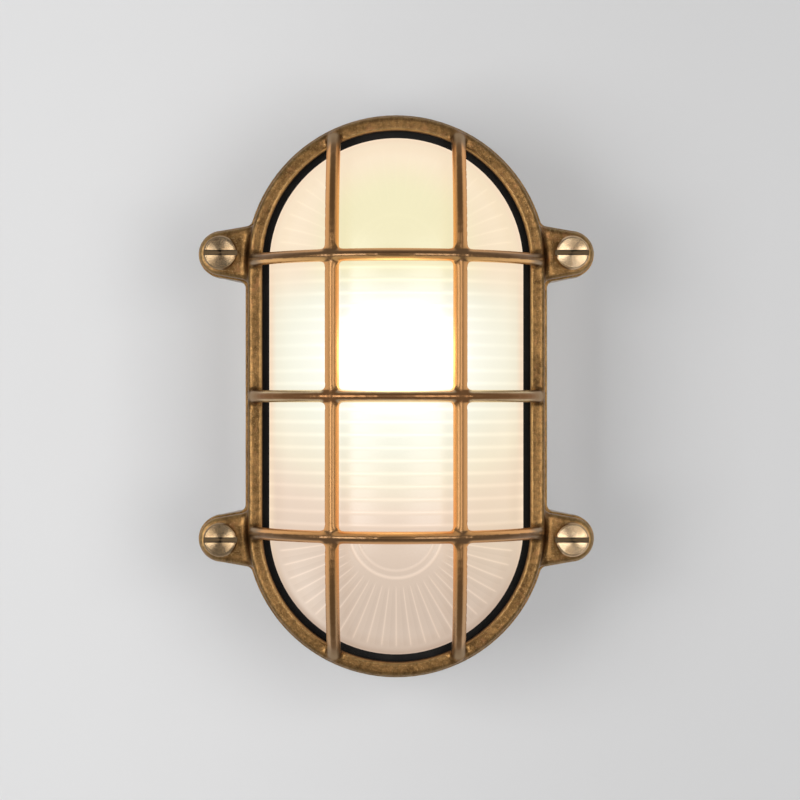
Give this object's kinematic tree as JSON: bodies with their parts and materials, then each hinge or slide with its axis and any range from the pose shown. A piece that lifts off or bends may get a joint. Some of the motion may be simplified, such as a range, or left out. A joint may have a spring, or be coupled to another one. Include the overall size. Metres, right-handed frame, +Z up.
{
  "type": "bulkhead light",
  "caption": "oval cast brass wall light with a barred guard, ribbed pressed glass lens in a rubber channel and a screw-cap lamp inside",
  "frame": {"origin": "middle of the back face, on the wall", "axes": "+X to the right as seen from the front, +Y into the wall, +Z up the wall; the guard faces -Y"},
  "size_m": [0.182, 0.117, 0.2608],
  "materials": {
    "cast_brass": "sand-cast brass, toned brown, brighter on worn edges",
    "turned_brass": "turned bright brass",
    "lens_glass": "frosted pressed glass, ribbed and fluted inside",
    "black_rubber": "matt black rubber",
    "lamp_opal": "opal globe",
    "porcelain": "white glaze",
    "zinc_steel": "bright zinc plated",
    "block_plastic": "white moulded",
    "brown_wire": "brown sleeve",
    "blue_wire": "blue sleeve",
    "green_wire": "green and yellow sleeve"
  },
  "bodies": {
    "root": {"back_box": "cast_brass", "guard_frame": "cast_brass", "lens_glass": "lens_glass", "lens_gasket": "black_rubber", "cover_screws": "turned_brass", "lamp": "lamp_opal", "holder_body": "porcelain", "holder_thread": "turned_brass", "holder_contact": "turned_brass", "holder_terminals": "turned_brass", "holder_bracket": "zinc_steel", "holder_screws": "zinc_steel", "bracket_screws": "zinc_steel", "terminal_block": "block_plastic", "terminal_tubes": "turned_brass", "terminal_screws": "zinc_steel", "block_screws": "zinc_steel", "earth_screw": "turned_brass", "earth_washer": "zinc_steel", "earth_tag": "zinc_steel", "cable_grommet": "black_rubber", "live_wire": "brown_wire", "neutral_wire": "blue_wire", "earth_wire": "green_wire"}
  },
  "joints": []
}
